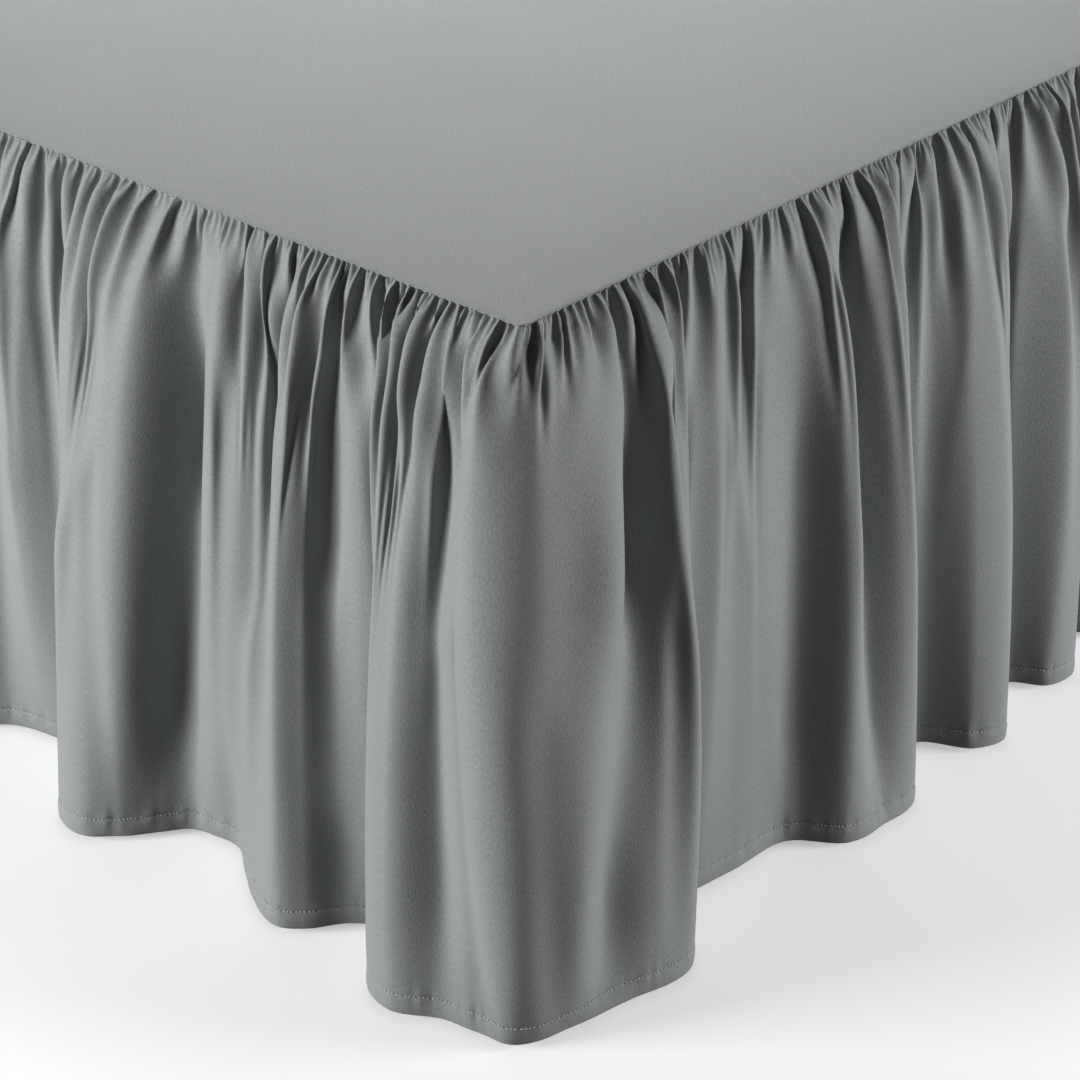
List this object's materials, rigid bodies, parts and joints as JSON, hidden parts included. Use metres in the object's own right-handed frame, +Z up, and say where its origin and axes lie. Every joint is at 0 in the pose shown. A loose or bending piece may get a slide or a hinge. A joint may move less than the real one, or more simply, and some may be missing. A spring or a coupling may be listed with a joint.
{
  "type": "bed skirt on a bed base",
  "caption": "Gathered bed skirt: a flat cloth deck over a low bed base, with a ruffle that hangs to the floor round the foot and both sides.",
  "frame": {"origin": "on the floor, under the middle of the whole object's box", "axes": "+Z up, +Y from the foot of the bed to its open head end, +X to the bed's right side as seen from the foot"},
  "size_m": [1.1253, 1.9823, 0.384],
  "materials": {
    "grey_cloth": "brushed plain weave with a soft satin sheen",
    "base_cloth": "plain pale upholstery cloth",
    "leg_wood": "oiled beech, satin"
  },
  "bodies": {
    "root": {"deck": "grey_cloth", "ruffle_left": "grey_cloth", "ruffle_left_corner": "grey_cloth", "ruffle_right_corner": "grey_cloth", "ruffle_right": "grey_cloth", "bed_base": "base_cloth", "leg_foot_left": "leg_wood", "leg_foot_right": "leg_wood", "leg_middle_left": "leg_wood", "leg_middle_right": "leg_wood", "leg_head_left": "leg_wood", "leg_head_right": "leg_wood"}
  },
  "joints": []
}
